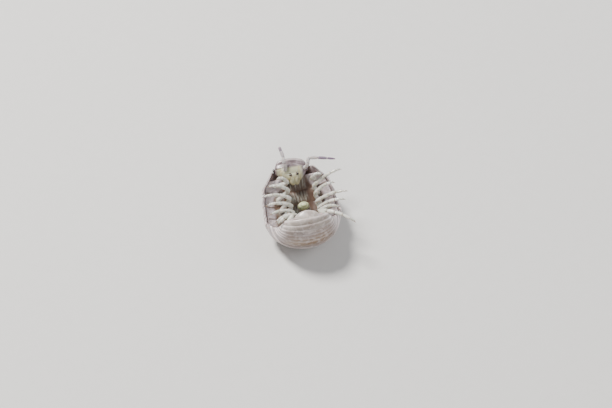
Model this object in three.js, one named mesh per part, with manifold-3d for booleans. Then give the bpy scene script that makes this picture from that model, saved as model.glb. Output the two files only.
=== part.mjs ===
// A pill woodlouse lying on its back, half unrolled: head raised at +Y, tail curled up towards the viewer at -Y,
// belly and legs facing up. Life size, in millimetres, +Z up, standing on z = 0.
import * as THREE from "three";
import { mergeVertices } from "three/addons/utils/BufferGeometryUtils.js";
import Module from "manifold-3d";

const wasm = await Module();
wasm.setup();

// Driving dimensions
const HALF_WIDTH = 4.0; // half of the body's greatest width
const VAULT = 2.95; // from the back's midline down to the tips of the side plates
const BELLY_SHARE = 0.6; // depth of the belly as a share of the vault
const PLATE = 0.42; // thickness of a side plate
const GAP = 0.14; // clearance between neighbouring pieces
const STEP = 0.13; // how far each plate's rear margin stands over the next plate
const FLAT = 0.4; // depth of the small flats that the back rests on
const HEAD_LENGTH = 1.5;
const SEGMENT_LENGTHS = [2.0, 1.65, 1.65, 1.65, 1.65, 1.65, 1.6]; // the seven leg-bearing segments
const TAIL_LENGTHS = [0.46, 0.46, 0.55, 0.55, 0.6]; // the five tail segments
const TELSON_LENGTH = 1.1;

// How steeply the back climbs towards the tail, in degrees, at distances from the head's front edge
const CLIMB = [
  [0, -42],
  [1.5, -36],
  [4.5, -23],
  [6.5, -11],
  [8.5, 10],
  [10.5, 44],
  [13, 88],
  [15.6, 132],
  [17.4, 158],
];

const degrees = THREE.MathUtils.degToRad;
const lerp = THREE.MathUtils.lerp;
const smooth = THREE.MathUtils.smoothstep;

// Value at s of a curve given by [s, value] knots, straight between them
function along(knots, s) {
  const last = knots.length - 1;
  if (s <= knots[0][0]) return knots[0][1];
  for (let i = 0; i < last; i++) {
    const [s0, v0] = knots[i];
    const [s1, v1] = knots[i + 1];
    if (s <= s1) return lerp(v0, v1, (s - s0) / (s1 - s0));
  }
  return knots[last][1];
}

// The back's midline, integrated in short steps from the head's front edge
const BACK_STEP = 0.02;
const BACK = [[0, 0]];
for (let s = 0; s < 20; s += BACK_STEP) {
  const a = degrees(along(CLIMB, s));
  const [y, z] = BACK[BACK.length - 1];
  BACK.push([y - Math.cos(a) * BACK_STEP, z + Math.sin(a) * BACK_STEP]);
}
const LOWEST = Math.min(...BACK.map(([, z]) => z)) + FLAT - STEP;

// Place in the body: x across, depth in from the back, s along the back from the head's front edge
function inBody(x, depth, s) {
  const index = THREE.MathUtils.clamp(s, 0, 19.9) / BACK_STEP;
  const [y0, z0] = BACK[Math.floor(index)];
  const [y1, z1] = BACK[Math.floor(index) + 1];
  const f = index - Math.floor(index);
  const a = degrees(along(CLIMB, s));
  const before = Math.min(s, 0);
  return new THREE.Vector3(
    x,
    lerp(y0, y1, f) + Math.sin(a) * depth - Math.cos(a) * before,
    lerp(z0, z1, f) + Math.cos(a) * depth + Math.sin(a) * before - LOWEST,
  );
}

// Half width and vault depth of the body along the back
const WIDTH_SHARE = [
  [0, 0.5],
  [1.2, 0.64],
  [2.6, 0.86],
  [4.6, 0.95],
  [8, 0.99],
  [9.5, 0.96],
  [11, 0.9],
  [13.4, 0.8],
  [15, 0.68],
  [16.2, 0.54],
  [17.4, 0.35],
];
const DEPTH_SHARE = [
  [0, 0.6],
  [2, 0.88],
  [4, 0.98],
  [8, 1],
  [11, 0.94],
  [13.4, 0.8],
  [15, 0.62],
  [17.4, 0.35],
];
const halfWidth = (s) => HALF_WIDTH * along(WIDTH_SHARE, s);
const vault = (s) => VAULT * along(DEPTH_SHARE, s);
const bellyDepth = (s) => vault(s) * BELLY_SHARE;

// A closed mesh from rings of equal length. Each end is filled with a fan round its middle,
// or with the given triangles of ring places.
function skinned(rings, filling = null) {
  const n = rings[0].length;
  const middle = (ring) =>
    ring.reduce((sum, p) => sum.add(p), new THREE.Vector3()).divideScalar(n);
  const points = rings.flat();
  const faces = [];
  rings.slice(1).forEach((_, r) => {
    for (let i = 0; i < n; i++) {
      const j = (i + 1) % n;
      const a = r * n + i;
      const b = r * n + j;
      faces.push(a, b, b + n, a, b + n, a + n);
    }
  });
  const last = (rings.length - 1) * n;
  if (filling) {
    filling.forEach(([p, q, r]) => faces.push(r, q, p, last + p, last + q, last + r));
  } else {
    points.push(middle(rings[0]), middle(rings.at(-1)));
    const back = points.length - 2;
    for (let i = 0; i < n; i++) {
      const j = (i + 1) % n;
      faces.push(back, j, i, back + 1, last + i, last + j);
    }
  }
  const geometry = new THREE.BufferGeometry().setFromPoints(points);
  geometry.setIndex(faces);
  return geometry;
}

// A closed mesh as a solid, turned the right way round if its faces point inwards
function solid(geometry) {
  const bare = geometry.clone();
  bare.deleteAttribute("normal");
  bare.deleteAttribute("uv");
  const merged = mergeVertices(bare, 1e-4);
  const make = (triVerts) =>
    new wasm.Manifold(
      new wasm.Mesh({
        numProp: 3,
        vertProperties: merged.attributes.position.array,
        triVerts,
      }),
    );
  const made = make(new Uint32Array(merged.index.array));
  return made.volume() < 0
    ? make(new Uint32Array(merged.index.array).reverse())
    : made;
}

const joined = (solids) => solids.reduce((all, one) => all.add(one));

const SLIVER = 0.01; // edges shorter than this are closed up after a union or a cut

// The largest closed body of a solid, without the slivers that joining leaves
function largest(made) {
  const bodies = made.simplify(SLIVER).decompose();
  return bodies.sort((a, b) => b.volume() - a.volume())[0];
}

function geometryOf(made) {
  const mesh = made.getMesh();
  const geometry = new THREE.BufferGeometry();
  geometry.setAttribute(
    "position",
    new THREE.BufferAttribute(mesh.vertProperties, 3),
  );
  geometry.setIndex(new THREE.BufferAttribute(mesh.triVerts, 1));
  return geometry.toNonIndexed();
}

// An ellipsoid with its own axes along the body's at s: radii across, inwards and along
function lump(x, depth, s, radii, detail = [14, 9]) {
  const ball = new THREE.SphereGeometry(1, ...detail);
  const centre = inBody(x, depth, s);
  const inwards = inBody(x, depth + 1, s).sub(centre);
  const across = new THREE.Vector3(1, 0, 0);
  const lengthways = new THREE.Vector3().crossVectors(across, inwards);
  ball.applyMatrix4(
    new THREE.Matrix4()
      .makeBasis(
        across.multiplyScalar(radii[0]),
        inwards.multiplyScalar(radii[1]),
        lengthways.multiplyScalar(radii[2]),
      )
      .setPosition(centre),
  );
  return solid(ball);
}

// Body segments

const OUTER_STEPS = 22;
const INNER_STEPS = 12;

const LEAST_SPACE = 0.1; // of a plate's length, left at its inner side where the body curls

// How much shorter the body is at a depth than along its back, because it curls
function squeeze(depth, s) {
  const curl = degrees(along(CLIMB, s + 0.2) - along(CLIMB, s - 0.2)) / 0.4;
  return Math.max(1 - depth * curl, LEAST_SPACE);
}

// One ring round a segment, a share t of the way from its front margin to its rear one, both drawn in for the gap:
// over the vault from side to side, then back along the belly. side runs from 0 at the midline to 1 at the tips.
// grow makes the ring that much larger all round.
function ringAt(from, to, t, rise, grow) {
  const ring = [];
  const place = (side, at) => {
    const [a, b] = [from(side), to(side)];
    const s = (a + b) / 2;
    const length = (b - a) * squeeze(at(s)[1], s);
    const inset = Math.min(GAP / 2 / length, 0.3) - grow / length;
    const here = lerp(a, b, lerp(inset, 1 - inset, t));
    const point = inBody(...at(here), here);
    ring.push(point.setZ(Math.max(point.z, 0))); // flat where the back meets the floor
  };
  for (let i = 0; i <= OUTER_STEPS; i++) {
    const turn = lerp(-Math.PI / 2, Math.PI / 2, i / OUTER_STEPS);
    place(Math.abs(Math.sin(turn)), (s) => [
      (halfWidth(s) + rise + grow) * Math.sin(turn),
      vault(s) + grow - (vault(s) + rise + 2 * grow) * Math.cos(turn) ** 0.9,
    ]);
  }
  for (let i = 0; i <= INNER_STEPS; i++) {
    const across = lerp(1, -1, i / INNER_STEPS);
    const side = Math.abs(across);
    place(side, (s) => [
      across * (halfWidth(s) + rise - grow - PLATE),
      lerp(bellyDepth(s) + grow, vault(s) + grow - 0.05, side ** 3.4),
    ]);
  }
  return ring;
}

// Triangles that fill a ring of ringAt, as a ladder between its vault and its belly
function ladder() {
  const triangles = [];
  let vaultAt = 0;
  let bellyAt = OUTER_STEPS + 1 + INNER_STEPS;
  while (vaultAt < OUTER_STEPS || bellyAt > OUTER_STEPS + 1) {
    const bellyDone = OUTER_STEPS + 1 + INNER_STEPS - bellyAt;
    if ((vaultAt + 0.5) / OUTER_STEPS < (bellyDone + 0.5) / INNER_STEPS) {
      triangles.push([vaultAt, vaultAt + 1, bellyAt]);
      vaultAt += 1;
    } else {
      triangles.push([vaultAt, bellyAt - 1, bellyAt]);
      bellyAt -= 1;
    }
  }
  return triangles;
}

// A segment between two margins, which sweep forwards or back at the sides, its rear margin standing proud
function segment(index, grow = 0) {
  const margin = (i) => (side) => margins[i] + SWEEPS[i] * side ** 3;
  const rings = [0, 0.35, 0.75, 1].map((t) =>
    ringAt(
      margin(index),
      margin(index + 1),
      t,
      STEP * smooth(t, 0, 0.8) - (t === 1 ? 0.04 : 0),
      grow,
    ),
  );
  return solid(skinned(rings, ladder()));
}

// Margins of all the segments, from the head's rear to the telson's front
const margins = [HEAD_LENGTH];
[...SEGMENT_LENGTHS, ...TAIL_LENGTHS].forEach((length) => {
  margins.push(margins.at(-1) + length);
});
const SWEEPS = [-0.75, -0.35, -0.2, -0.1, 0, 0.1, 0.15, 0.2, 0.15, 0.12, 0.1, 0.08, 0.05];
const segments = margins.slice(1).map((_, i) => segment(i));

// Telson: a short plate that closes the tail, rounded at its tip
function telson() {
  const front = margins.at(-1);
  const rings = [0, 0.3, 0.6, 0.85, 1].map((t) => {
    const s = front + TELSON_LENGTH * t;
    const narrow = lerp(1, 0.3, t ** 2.2);
    const ring = [];
    for (let i = 0; i < 16; i++) {
      const turn = (i / 16) * 2 * Math.PI;
      const x = halfWidth(front) * 0.62 * narrow * Math.cos(turn);
      const height = Math.sin(turn) < 0 ? 0.62 : 0.3;
      const depth = 0.55 + height * lerp(1, 0.45, t) * Math.sin(turn);
      ring.push(inBody(x, depth + 0.25 * Math.cos(turn) ** 2, s + (t === 0 ? GAP : 0)));
    }
    return ring;
  });
  return solid(skinned(rings));
}

// Uropod: the flat tail lobe on each side of the telson
function uropod(side) {
  const front = margins.at(-1);
  const rings = [0, 0.5, 1].map((t) => {
    const ring = [];
    for (let i = 0; i < 8; i++) {
      const turn = (i / 8) * 2 * Math.PI;
      const x = halfWidth(front) * lerp(0.86, 0.6, t) + 0.3 * lerp(1, 0.6, t) * Math.cos(turn);
      const depth = 0.95 + 0.3 * lerp(1, 0.6, t) * Math.sin(turn);
      ring.push(inBody(side * x, depth, front + GAP + t * TELSON_LENGTH * 0.72));
    }
    return ring;
  });
  return solid(skinned(rings));
}

// Head

// A rounded box as a ring: x and depth half sizes about a middle depth
function headRing(s, wide, middle, deep, steps = 22) {
  const ring = [];
  for (let i = 0; i < steps; i++) {
    const turn = (i / steps) * 2 * Math.PI;
    const round = (v, power) => Math.sign(v) * Math.abs(v) ** power;
    const x = wide * round(Math.cos(turn), 0.8);
    ring.push(inBody(x, middle + deep * round(Math.sin(turn), 0.85), s));
  }
  return ring;
}

function head(grow = 0) {
  const skull = [
    [0.02 - grow, 1.05, 0.95, 0.45],
    [0.2 - grow, 1.6, 1.0, 0.75],
    [0.7, 1.82, 1.05, 0.98],
    [1.2, 1.8, 1.05, 0.95],
    [1.42 + grow, 1.55, 1.0, 0.8],
  ].map(([s, wide, middle, deep]) => headRing(s, wide + grow, middle, deep + grow));
  const shield = [
    [-0.42 - grow, 1.28, 1.25, 0.2],
    [-0.3, 1.5, 1.28, 0.3],
    [0.1, 1.72, 1.35, 0.42],
    [0.45 + grow, 1.7, 1.4, 0.42],
  ].map(([s, wide, middle, deep]) => headRing(s, wide + grow, middle, deep + grow));
  const radii = (...sizes) => sizes.map((size) => size + grow);
  return joined([
    solid(skinned(skull)),
    solid(skinned(shield)),
    lump(0, 1.95, 1.15, radii(1.38, 0.78, 0.98), [16, 10]),
    lump(0, 2.2, 1.6, radii(0.95, 0.66, 0.72), [14, 9]),
  ]);
}

const headClear = head(GAP);
const headTrimmed = largest(head().subtract(segment(0, GAP)));

function eye(side) {
  return largest(lump(side * 1.86, 1.0, 0.75, [0.2, 0.33, 0.3], [10, 7]).subtract(headClear));
}

function mandible(side) {
  return largest(lump(side * 0.36, 2.85, 1.35, [0.19, 0.3, 0.19], [8, 6]).subtract(headClear));
}

function mouthparts() {
  const lobes = [-1, 1].map((side) => lump(side * 0.3, 2.62, 2.3, [0.42, 0.5, 0.4], [10, 8]));
  return largest(joined(lobes).subtract(headClear).subtract(segment(0, GAP)));
}

// The round pale swelling on the third segment's belly
function bellySwelling() {
  const s = margins[2] + 0.75;
  const bulb = lump(0.45, bellyDepth(s) + 0.55, s, [0.56, 0.6, 0.56], [12, 9]);
  return largest(bulb.subtract(segment(2, GAP)));
}

// Limbs

// One article of a limb: a tapered rod with rounded ends from a to b
function article(a, b, ra, rb, sides) {
  const axis = b.clone().sub(a);
  const length = axis.length();
  const profile = [
    [0, -ra * 0.75],
    [ra * 0.9, -ra * 0.35],
    [ra * 1.03, length * 0.2],
    [rb * 1.03, length * 0.93],
    [0, length + rb * 0.75],
  ].map(([r, h]) => new THREE.Vector2(r, h));
  const made = new THREE.LatheGeometry(profile, sides);
  const turn = new THREE.Quaternion().setFromUnitVectors(
    new THREE.Vector3(0, 1, 0),
    axis.normalize(),
  );
  made.applyQuaternion(turn).translate(a.x, a.y, a.z);
  return solid(made);
}

// A jointed limb through points, with a radius at each
function limb(points, radii, sides = 6) {
  return joined(
    points.slice(1).map((b, i) => article(points[i], b, radii[i], radii[i + 1], sides)),
  );
}

const LEG_RADII = [0.28, 0.26, 0.24, 0.22, 0.19, 0.14, 0.07];
const ROOT_X = 2.3;
const JOINTS = [0, 0.2, 0.42, 0.66, 0.88, 1]; // where a leg's joints lie between knee and claw
const ARCH = 1.1; // how far the control point of a leg's curve stands over the middle of knee and claw

// The knees lie along this row (y, z), spread evenly from head to tail, further out on the right
const KNEES = new THREE.SplineCurve(
  [
    [-3.5, 4.0],
    [-5.4, 3.0],
    [-6.75, 3.0],
    [-7.55, 4.1],
  ].map(([y, z]) => new THREE.Vector2(y, z)),
);
const KNEE_X = { "-1": -0.85, 1: 1.7 };
const CLAWS = {
  "-1": [
    [-1.9, -3.2, 4.7],
    [-2.9, -3.8, 4.5],
    [-3.65, -4.7, 4.2],
    [-3.5, -5.7, 4.0],
    [-3.3, -6.8, 4.0],
    [-3.0, -7.9, 4.2],
    [-3.0, -8.4, 4.6],
  ],
  1: [
    [2.6, -4.0, 5.2],
    [4.5, -4.1, 5.7],
    [3.6, -5.0, 4.9],
    [4.6, -6.5, 5.2],
    [4.2, -7.1, 4.7],
    [3.5, -7.8, 4.6],
    [4.7, -9.8, 4.5],
  ],
};

function leg(side, index) {
  const s = (margins[index] + margins[index + 1]) / 2;
  const root = inBody(side * ROOT_X, bellyDepth(s) + GAP + 0.1, s);
  const { x: y, y: z } = KNEES.getPointAt(index / 6);
  const knee = new THREE.Vector3(KNEE_X[side], y, z);
  const claw = new THREE.Vector3(...CLAWS[side][index]);
  const over = knee.clone().lerp(claw, 0.5).setZ((knee.z + claw.z) / 2 + ARCH);
  const outwards = new THREE.QuadraticBezierCurve3(knee, over, claw);
  const points = [root, ...JOINTS.map((u) => outwards.getPoint(u))];
  return largest(limb(points, LEG_RADII).subtract(segment(index, GAP)));
}

const ANTENNA_RADII = [0.24, 0.22, 0.22, 0.22, 0.2, 0.16, 0.09];
const LEFT_ANTENNA = [
  [-0.75, 2.1, 0.9],
  [-0.8, 2.6, 0.5],
  [-0.8, 2.85, -0.2],
  [-0.8, 2.75, -0.9],
  [-0.9, 2.6, -1.5],
  [-1.0, 2.5, -1.95],
];
const RIGHT_ANTENNA = [
  [1.2, 2.1, 0.9],
  [1.45, 2.6, 0.7],
  [1.66, 2.86, 0.2],
  [1.75, 2.8, -0.35],
  [2.75, 2.7, -0.15],
  [3.75, 2.55, 0.15],
  [4.6, 2.4, 0.45],
];

// Feeler through places given as x, depth and distance along the back
function antenna(places) {
  const points = places.map((place) => inBody(...place));
  return largest(limb(points, ANTENNA_RADII).subtract(headClear));
}

const group = new THREE.Group();
const SHELL = { color: 0xbfb3b4, roughness: 0.4 };
const PALE = { color: 0xdcdccd, roughness: 0.45 };

function add(name, made, look) {
  const mesh = new THREE.Mesh(
    geometryOf(made),
    new THREE.MeshStandardMaterial({ ...look, metalness: 0 }),
  );
  mesh.name = name;
  group.add(mesh);
}

segments.forEach((made, i) => {
  const name = i < 7 ? `segment_${i + 1}` : `tail_segment_${i - 6}`;
  add(name, made, SHELL);
});
add("head", headTrimmed, SHELL);
add("belly_swelling", bellySwelling(), PALE);
add("mouthparts", mouthparts(), PALE);
add("antenna_left", antenna(LEFT_ANTENNA), PALE);
add("antenna_right", antenna(RIGHT_ANTENNA), PALE);
add("telson", telson(), SHELL);
for (const [side, word] of [
  [-1, "left"],
  [1, "right"],
]) {
  add(`eye_${word}`, eye(side), { color: 0x1a1412, roughness: 0.2 });
  add(`mandible_${word}`, mandible(side), { color: 0x3a2418, roughness: 0.3 });
  add(`uropod_${word}`, uropod(side), PALE);
  for (let i = 0; i < 7; i++) add(`leg_${word}_${i + 1}`, leg(side, i), PALE);
}

// The origin is below the middle of the whole animal, on the floor
const middle = new THREE.Box3().setFromObject(group).getCenter(new THREE.Vector3());
group.position.set(-middle.x, -middle.y, 0);

export default group;
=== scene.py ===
"""A pale pill woodlouse on its back, half unrolled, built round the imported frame.

Every surface is worked out in millimetres along the animal's curved back, in three directions: x across,
depth in from the back, and s along the back from head to tail. It is scaled to metres at the end.
"""

import math

import bmesh
import bpy
import numpy as np
from mathutils import Matrix, Vector


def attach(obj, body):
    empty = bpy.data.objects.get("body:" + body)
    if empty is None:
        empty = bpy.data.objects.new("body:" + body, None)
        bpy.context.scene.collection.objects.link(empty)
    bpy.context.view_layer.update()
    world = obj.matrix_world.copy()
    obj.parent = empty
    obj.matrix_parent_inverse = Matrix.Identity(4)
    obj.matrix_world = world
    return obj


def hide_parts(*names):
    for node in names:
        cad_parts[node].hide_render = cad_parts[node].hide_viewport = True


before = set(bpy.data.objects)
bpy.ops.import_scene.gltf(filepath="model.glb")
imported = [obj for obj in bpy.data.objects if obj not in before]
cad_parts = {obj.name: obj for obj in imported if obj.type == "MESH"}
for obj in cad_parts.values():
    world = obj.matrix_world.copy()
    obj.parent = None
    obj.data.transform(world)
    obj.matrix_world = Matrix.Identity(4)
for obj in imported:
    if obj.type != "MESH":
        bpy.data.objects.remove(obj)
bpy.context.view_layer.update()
SEED = 7
rng = np.random.default_rng(SEED)
MM = 0.001

# The body, as the solids have it (millimetres)
MIDDLE = (0.32666, -5.33463)  # the whole animal's middle on the floor, from the head's front edge
HALF_WIDTH = 4.0
VAULT = 2.95  # depth of the shell's arch, from the back to the plate tips
BELLY_SHARE = 0.6  # how far into the vault the belly lies
GAP = 0.14  # between two nodes
STEP = 0.13  # how far a plate's rear edge stands over the next plate
FLAT = 0.4  # how much of the back the floor flattens
HEAD_LENGTH = 1.5
SEGMENT_LENGTHS = [2.0, 1.65, 1.65, 1.65, 1.65, 1.65, 1.6]
TAIL_LENGTHS = [0.46, 0.46, 0.55, 0.55, 0.6]
TELSON_LENGTH = 1.1
MARGINS = np.cumsum([HEAD_LENGTH, *SEGMENT_LENGTHS, *TAIL_LENGTHS])
SWEEPS = [  # how far each margin sweeps tailwards at its tips
    -0.75, -0.35, -0.2, -0.1, 0, 0.1, 0.15, 0.2, 0.15, 0.12, 0.1, 0.08, 0.05,
]
CLIMB = [  # (s, slope of the back in degrees)
    (0, -42), (1.5, -36), (4.5, -23), (6.5, -11), (8.5, 10),
    (10.5, 44), (13, 88), (15.6, 132), (17.4, 158),
]
WIDTH_SHARE = [
    (0, 0.5), (1.2, 0.64), (2.6, 0.86), (4.6, 0.95), (8, 0.99), (9.5, 0.96),
    (11, 0.9), (13.4, 0.8), (15, 0.68), (16.2, 0.54), (17.4, 0.35),
]
DEPTH_SHARE = [(0, 0.6), (2, 0.88), (4, 0.98), (8, 1), (11, 0.94), (13.4, 0.8), (15, 0.62), (17.4, 0.35)]
SIDES = ((-1, "left"), (1, "right"))


def along(knots, s):
    """Value at s on straight lines between (s, value) knots."""
    places, values = np.array(knots, float).T
    return np.interp(s, places, values)


BACK_STEP = 0.02
BACK_S = np.arange(0, 20, BACK_STEP)
BACK_CLIMB = np.radians(along(CLIMB, BACK_S))
BACK_Y = np.concatenate([[0], -np.cumsum(np.cos(BACK_CLIMB) * BACK_STEP)[:-1]])
BACK_Z = np.concatenate([[0], np.cumsum(np.sin(BACK_CLIMB) * BACK_STEP)[:-1]])
LOWEST = BACK_Z.min() + FLAT - STEP


def in_body(x, depth, s):
    """Places (x, depth, s): the back's own point at s, plus depth along the back's normal there.

    y = back y + sin(climb) depth, and z = back z + cos(climb) depth. Before s = 0 the back runs straight.
    """
    x, depth, s = np.broadcast_arrays(*(np.asarray(v, float) for v in (x, depth, s)))
    climb = np.radians(along(CLIMB, s))
    before = np.minimum(s, 0)
    y = np.interp(s, BACK_S, BACK_Y) + np.sin(climb) * depth - np.cos(climb) * before
    z = np.interp(s, BACK_S, BACK_Z) + np.cos(climb) * depth + np.sin(climb) * before
    return np.stack([x - MIDDLE[0], y - MIDDLE[1], z - LOWEST], axis=-1)


def half_width(s):
    """Half the shell's width at s."""
    return HALF_WIDTH * along(WIDTH_SHARE, s)


def vault(s):
    """Depth of the shell's arch at s."""
    return VAULT * along(DEPTH_SHARE, s)


def belly_depth(s):
    """Depth of the belly's middle at s."""
    return vault(s) * BELLY_SHARE


def smooth(v, low, high):
    """0 below low, 1 above high, and an S curve between: t * t * (3 - 2 t)."""
    t = np.clip((np.asarray(v, float) - low) / (high - low), 0, 1)
    return t * t * (3 - 2 * t)


def bell(v, middle, width):
    """1 at the middle and falling away on both sides: exp(-((v - middle) / width) ** 2)."""
    return np.exp(-(((v - middle) / width) ** 2))


def full_turn(count):
    """Angles spaced evenly round a ring, in radians."""
    return np.linspace(0, 2 * np.pi, count, endpoint=False)


# Mesh making

MERGE_DISTANCE = 1e-5


def mark_points(mesh, marks):
    """Stores named values on a mesh's points, for its material to read."""
    for name, values in marks.items():
        layer = mesh.attributes.new(name, "FLOAT", "POINT")
        layer.data.foreach_set("value", np.ravel(values).astype(np.float32))


def show(name, mesh):
    """An object at the origin that shows the mesh."""
    thing = bpy.data.objects.new(name, mesh)
    bpy.context.scene.collection.objects.link(thing)
    return thing


def make_mesh(name, points, faces, marks=None):
    """An object from points in millimetres, its faces turned outwards, with named marks on its points."""
    mesh = bpy.data.meshes.new(name)
    mesh.from_pydata(np.asarray(points, float).tolist(), [], faces)
    mark_points(mesh, marks or {})
    work = bmesh.new()
    work.from_mesh(mesh)
    bmesh.ops.remove_doubles(work, verts=work.verts, dist=MERGE_DISTANCE)
    bmesh.ops.recalc_face_normals(work, faces=work.faces)
    work.to_mesh(mesh)
    work.free()
    mesh.shade_smooth()
    return show(name, mesh)


def grid_faces(rows, columns, start=0, wrap=True):
    """Quads over a grid of rows by columns, its columns closed into rings when wrap is set."""
    last = columns if wrap else columns - 1
    i, j = np.meshgrid(np.arange(rows - 1), np.arange(last), indexing="ij")
    k = (j + 1) % columns
    here, beyond = i * columns, (i + 1) * columns
    quads = np.stack([here + j, here + k, beyond + k, beyond + j], -1)
    return (quads.reshape(-1, 4) + start).tolist()


def tube(rings, start=0):
    """Points and faces of rings joined into a closed tube, each end filled with one face."""
    rows, columns = rings.shape[:2]
    faces = grid_faces(rows, columns, start)
    faces.append([start + j for j in range(columns)][::-1])
    faces.append([start + (rows - 1) * columns + j for j in range(columns)])
    return rings.reshape(-1, 3), faces


def join_parts(parts):
    """Several (points, faces) with their own numbering as one."""
    points, faces, count = [], [], 0
    for some, quads in parts:
        points.append(some)
        faces += [[v + count for v in quad] for quad in quads]
        count += len(some)
    return np.concatenate(points), faces


def finish_piece(thing, material, node_names=()):
    """Scales a piece to metres, gives it its material and hangs it on the frame."""
    thing.data.transform(Matrix.Scale(MM, 4))
    thing.data.materials.clear()
    thing.data.materials.append(material)
    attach(thing, "root")
    if node_names:
        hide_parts(*node_names)
    return thing


# Materials


class Value:
    """A shader socket that adds Math nodes when it is used in sums."""

    def __init__(self, net, socket):
        self.net = net
        self.socket = socket

    def _math(self, operation, a, b):
        return self.net.node("ShaderNodeMath", {"operation": operation}, {0: a, 1: b})[0]

    def __add__(self, other):
        return self._math("ADD", self, other)

    __radd__ = __add__

    def __mul__(self, other):
        return self._math("MULTIPLY", self, other)

    __rmul__ = __mul__

    def __sub__(self, other):
        return self._math("SUBTRACT", self, other)

    def __rsub__(self, other):
        return self._math("SUBTRACT", other, self)


FACTOR_OUT = 2  # of an Attribute node
OBJECT_OUT = 3  # of a Texture Coordinate node
MIX_SHARE, MIX_FIRST, MIX_SECOND, MIX_RESULT = 0, 6, 7, 2  # of a Mix node set to colour


class Net:
    """A material's node tree, with one method that adds any node."""

    def __init__(self, name):
        self.material = bpy.data.materials.new(name)
        self.material.use_nodes = True
        self.tree = self.material.node_tree
        self.skin = self.tree.nodes["Principled BSDF"]

    def node(self, kind, settings=None, inputs=None):
        """Adds a node of a kind, sets it, feeds its sockets, and gives its outputs."""
        made = self.tree.nodes.new(kind)
        for key, value in (settings or {}).items():
            setattr(made, key, value)
        for key, value in (inputs or {}).items():
            self.feed(made.inputs[key], value)
        return [Value(self, socket) for socket in made.outputs]

    def feed(self, socket, value):
        """Links a Value to a socket, or sets a plain number or colour there."""
        if isinstance(value, Value):
            self.tree.links.new(value.socket, socket)
        else:
            socket.default_value = value

    def place(self):
        """Object coordinates, in metres."""
        return self.node("ShaderNodeTexCoord")[OBJECT_OUT]

    def mark(self, name):
        """The value that a piece's points carry under this name."""
        return self.node("ShaderNodeAttribute", {"attribute_name": name})[FACTOR_OUT]

    def noise(self, scale, detail=4.0, rough=0.55):
        """Cloudy noise from 0 to 1."""
        return self.node(
            "ShaderNodeTexNoise", None,
            {"Vector": self.place(), "Scale": scale, "Detail": detail, "Roughness": rough},
        )[0]

    def cells(self, scale):
        """Distance from the middle of the nearest random cell."""
        return self.node("ShaderNodeTexVoronoi", None, {"Vector": self.place(), "Scale": scale})[0]

    def step(self, value, low, high):
        """0 below low, 1 above high, and an S curve between."""
        return self.node(
            "ShaderNodeMapRange", {"interpolation_type": "SMOOTHSTEP"},
            {"Value": value, "From Min": low, "From Max": high, "To Min": 0.0, "To Max": 1.0},
        )[0]

    def mix(self, share, a, b):
        """Colour a where share is 0 and b where it is 1."""
        return self.node(
            "ShaderNodeMix", {"data_type": "RGBA"}, {MIX_SHARE: share, MIX_FIRST: a, MIX_SECOND: b},
        )[MIX_RESULT]

    def bump(self, height, strength, distance):
        """A normal pressed in and out by height."""
        return self.node(
            "ShaderNodeBump", None,
            {"Height": height, "Strength": strength, "Distance": distance},
        )[0]

    def finish(self, base, rough, normal, **plain):
        """Feeds the surface's own node, with plain numbers for its other sockets."""
        self.feed(self.skin.inputs["Base Color"], base)
        self.feed(self.skin.inputs["Roughness"], rough)
        self.feed(self.skin.inputs["Normal"], normal)
        for key, value in plain.items():
            self.skin.inputs[key.replace("_", " ")].default_value = value
        return self.material


def colour(red, green, blue):
    """An opaque colour in linear light."""
    return (red, green, blue, 1.0)


SOFT_LIGHT = {"Subsurface_Radius": (1.0, 0.75, 0.6), "Subsurface_Scale": 0.00045}  # in metres
COARSE_PRESS = 0.00003  # how deep the bumps of shell and flesh are, in metres
FINE_PRESS = 0.00002  # and those of limbs, eyes, horn and floor


def shell_material():
    """Mauve-grey shell: painted shade and reflection in brown and painted light in cream by their marks,
    glassy pale tips and rims, mottles and pits.
    """
    net = Net("pale_shell")
    margin = net.mark("margin")
    tip = net.mark("tip")
    blotches = net.step(net.noise(420, 5.0, 0.6), 0.38, 0.62)
    specks = net.step(net.noise(2600, 3.0, 0.6), 0.5, 0.64)
    warm = net.step(net.noise(260, 4.0, 0.6), 0.4, 0.6)
    base = net.mix(blotches, colour(0.17, 0.13, 0.122), colour(0.36, 0.30, 0.295))
    base = net.mix(warm * 0.6 * (1 - tip), base, colour(0.20, 0.125, 0.085))
    # Painted shade and a painted brown reflection from below darken the bend before the tail.
    base = net.mix(net.mark("brown") * (0.8 + blotches * 0.2), base, colour(0.20, 0.12, 0.062))
    # Painted light: the curled tail's upper face is paled to cream.
    cream = net.mix(blotches, colour(0.46, 0.40, 0.34), colour(0.76, 0.71, 0.64))
    base = net.mix(net.mark("cream") * 0.62, base, cream)
    base = net.mix(tip * 0.4, base, colour(0.50, 0.435, 0.46))
    freckles = net.step(net.noise(1500, 3.0, 0.6), 0.5, 0.62)
    base = net.mix(freckles * 0.4, base, colour(0.215, 0.155, 0.135))
    base = net.mix(specks * 0.4, base, colour(0.64, 0.57, 0.56))
    base = net.mix(margin * (0.25 + tip * 0.6), base, colour(0.80, 0.71, 0.70))
    pits = net.cells(5200) * 0.6 + net.noise(3800, 4.0, 0.6) * 0.6
    return net.finish(
        base, net.step(net.noise(900), 0.2, 0.9) * 0.18 + 0.25, net.bump(pits, 0.4, COARSE_PRESS),
        Subsurface_Weight=0.2, Coat_Weight=0.35, Coat_Roughness=0.22, **SOFT_LIGHT,
    )


def flesh_material(name, deep, pale):
    """Soft skin with painted shade: dusky in the folds and pale where it is raised."""
    net = Net(name)
    raised = net.mark("raised")
    cloud = net.noise(700, 5.0, 0.6)
    # Painted shade: the deep colour fills the folds, where raised is low.
    base = net.mix(net.step(raised + cloud * 0.3 - 0.15, 0.1, 0.95), deep, pale)
    fine = net.noise(5200, 4.0, 0.6)
    return net.finish(
        base, cloud * 0.2 + 0.3, net.bump(fine, 0.3, COARSE_PRESS),
        Subsurface_Weight=0.4, Coat_Weight=0.25, Coat_Roughness=0.3, **SOFT_LIGHT,
    )


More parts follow.
